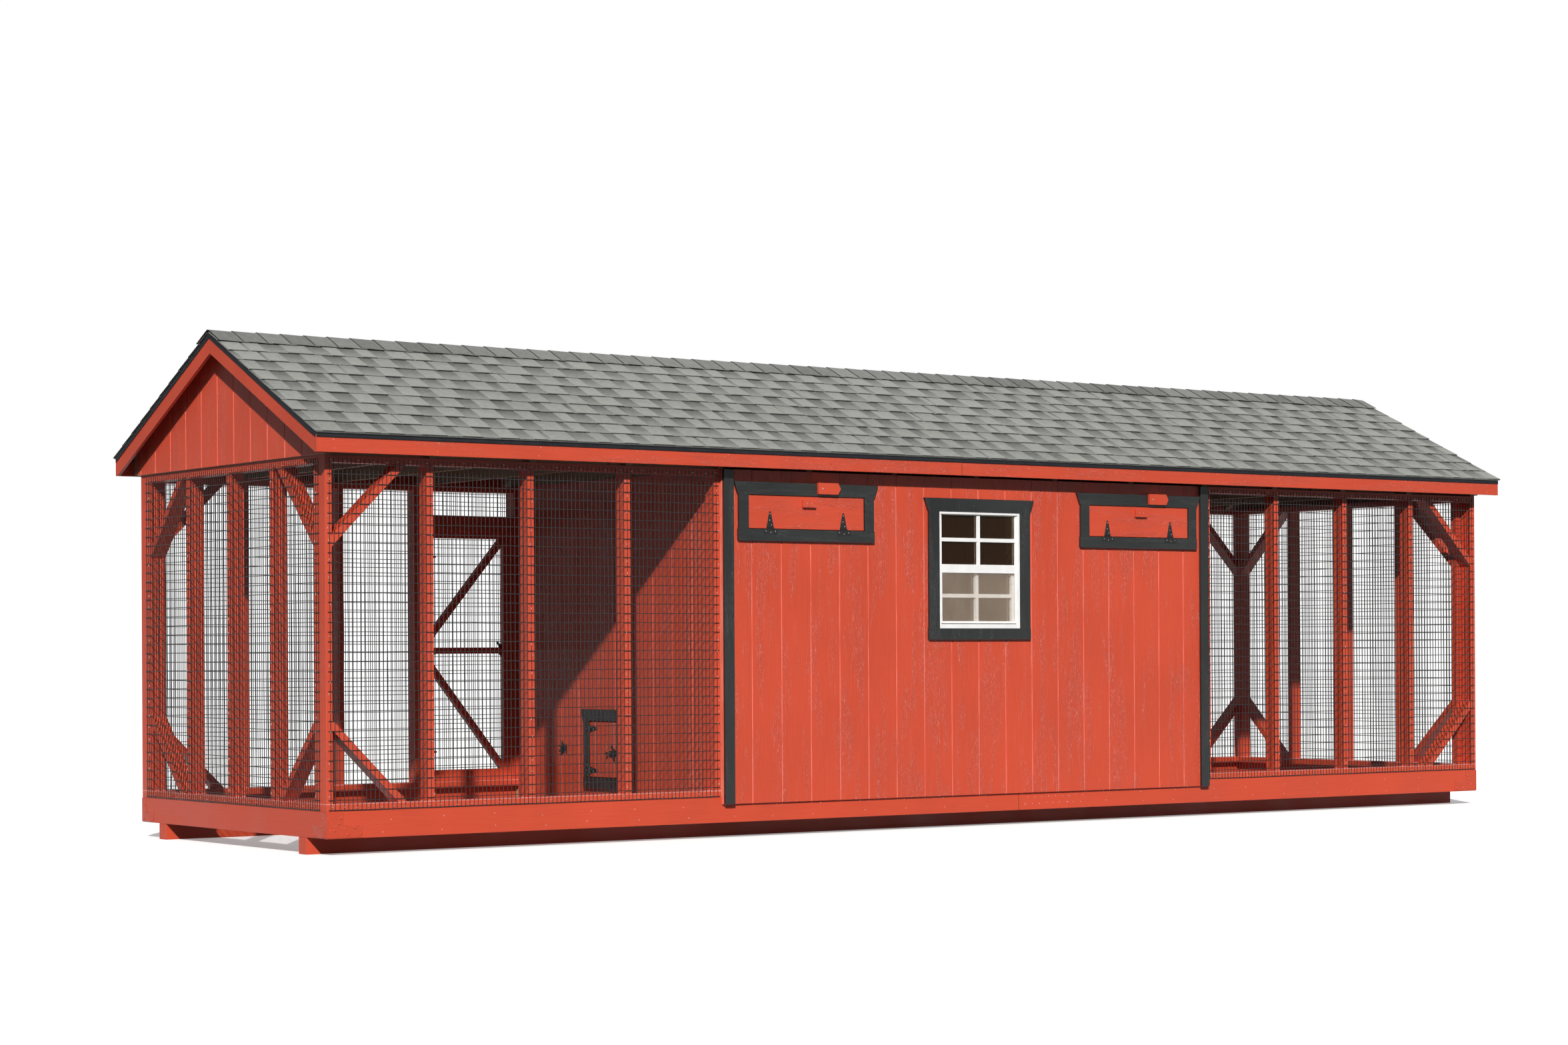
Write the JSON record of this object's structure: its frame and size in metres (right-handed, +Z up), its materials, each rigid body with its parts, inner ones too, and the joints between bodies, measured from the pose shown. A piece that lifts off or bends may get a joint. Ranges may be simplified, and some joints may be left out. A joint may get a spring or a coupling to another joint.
{
  "type": "chicken coop",
  "caption": "Long gable-roofed chicken coop on skids, with a closed room, a wire run at each end, hinged vents, pop doors, screen doors and a window.",
  "frame": {"origin": "on the ground, under the middle of the coop", "axes": "+X along the length, to the right as seen from the window side; -Y towards that side; +Z up"},
  "size_m": [8.7678, 2.5396, 2.7947],
  "materials": {
    "red_wood": "red barn paint on rough-sawn board",
    "black_wood": "black paint, satin",
    "bare_wood": "bare softwood and plywood",
    "shingle": "grey mineral granules on asphalt",
    "black_metal": "black coated steel",
    "white_vinyl": "satin white",
    "glass": "clear"
  },
  "bodies": {
    "coop": {"skid_front": "red_wood", "skid_rear": "red_wood", "base_board_front": "red_wood", "base_board_rear": "red_wood", "base_board_left": "red_wood", "base_board_right": "red_wood", "coop_floor": "bare_wood", "run_frame_left_end": "red_wood", "run_frame_left_front": "red_wood", "run_frame_left_rear": "red_wood", "run_frame_right_end": "red_wood", "run_frame_right_front": "red_wood", "run_frame_right_rear": "red_wood", "wire_left_end": "black_metal", "wire_left_front": "black_metal", "wire_left_rear": "black_metal", "wire_right_end": "black_metal", "wire_right_front": "black_metal", "wire_right_rear": "black_metal", "coop_wall_frame": "bare_wood", "siding_front": "red_wood", "siding_rear": "red_wood", "siding_left": "red_wood", "siding_right": "red_wood", "corner_board_front_left": "black_wood", "corner_board_front_right": "black_wood", "corner_board_rear_left": "black_wood", "corner_board_rear_right": "black_wood", "roof_trusses": "bare_wood", "roof_deck_front": "bare_wood", "roof_deck_rear": "bare_wood", "shingles_front": "shingle", "shingles_rear": "shingle", "ridge_cap": "shingle", "fascia_front": "red_wood", "fascia_rear": "red_wood", "rake_boards_left": "red_wood", "rake_boards_right": "red_wood", "gable_left": "red_wood", "gable_right": "red_wood", "window_trim": "black_wood", "window_frame": "white_vinyl", "window_upper_glass": "glass", "vent_trim_left": "black_wood", "vent_trim_right": "black_wood", "pop_door_trim_left": "black_wood", "pop_door_trim_right": "black_wood", "nest_boxes": "bare_wood", "roost": "bare_wood"},
    "vent_flap_left": {"vent_flap_left": "red_wood"},
    "vent_flap_right": {"vent_flap_right": "red_wood"},
    "turn_button_left": {"turn_button_left": "red_wood"},
    "turn_button_right": {"turn_button_right": "red_wood"},
    "window_lower_sash": {"window_lower_sash": "white_vinyl", "window_lower_glass": "glass"},
    "pop_door_left": {"pop_door_left": "red_wood"},
    "pop_door_right": {"pop_door_right": "red_wood"},
    "run_door_left": {"run_door_left": "red_wood"},
    "run_door_right": {"run_door_right": "red_wood"},
    "coop_door": {"coop_door": "red_wood"}
  },
  "joints": [
    {"name": "vent_flap_left_tip", "type": "hinge", "parent": "coop", "child": "vent_flap_left", "pos_m": [-1.25222, -1.17983, 1.7272], "axis": [1, 0, 0], "range_deg": [0, 165]},
    {"name": "vent_flap_right_tip", "type": "hinge", "parent": "coop", "child": "vent_flap_right", "pos_m": [1.25222, -1.17983, 1.7272], "axis": [1, 0, 0], "range_deg": [0, 165]},
    {"name": "turn_button_left_turn", "type": "hinge", "parent": "coop", "child": "turn_button_left", "pos_m": [-1.15824, -1.17729, 1.96342], "axis": [0, 1, 0], "range_deg": [-60, 77]},
    {"name": "turn_button_right_turn", "type": "hinge", "parent": "coop", "child": "turn_button_right", "pos_m": [1.3462, -1.17729, 1.96342], "axis": [0, 1, 0], "range_deg": [-60, 83]},
    {"name": "window_sash_slide", "type": "slide", "parent": "coop", "child": "window_lower_sash", "axis": [0, 0, 1], "range_m": [0, 0.29]},
    {"name": "pop_door_left_hinge", "type": "hinge", "parent": "coop", "child": "pop_door_left", "pos_m": [-1.86563, 0.2032, 0.3048], "axis": [0, 0, -1], "range_deg": [0, 170]},
    {"name": "pop_door_right_hinge", "type": "hinge", "parent": "coop", "child": "pop_door_right", "pos_m": [1.86563, 0.2032, 0.3048], "axis": [0, 0, 1], "range_deg": [0, 170]},
    {"name": "run_door_left_hinge", "type": "hinge", "parent": "coop", "child": "run_door_left", "pos_m": [-2.51079, 1.14681, 0.29718], "axis": [0, 0, 1], "range_deg": [0, 170]},
    {"name": "run_door_right_hinge", "type": "hinge", "parent": "coop", "child": "run_door_right", "pos_m": [2.51079, 1.14681, 0.29718], "axis": [0, 0, -1], "range_deg": [0, 170]},
    {"name": "coop_door_hinge", "type": "hinge", "parent": "coop", "child": "coop_door", "pos_m": [-0.4064, 1.17983, 0.24384], "axis": [0, 0, 1], "range_deg": [0, 170]}
  ]
}
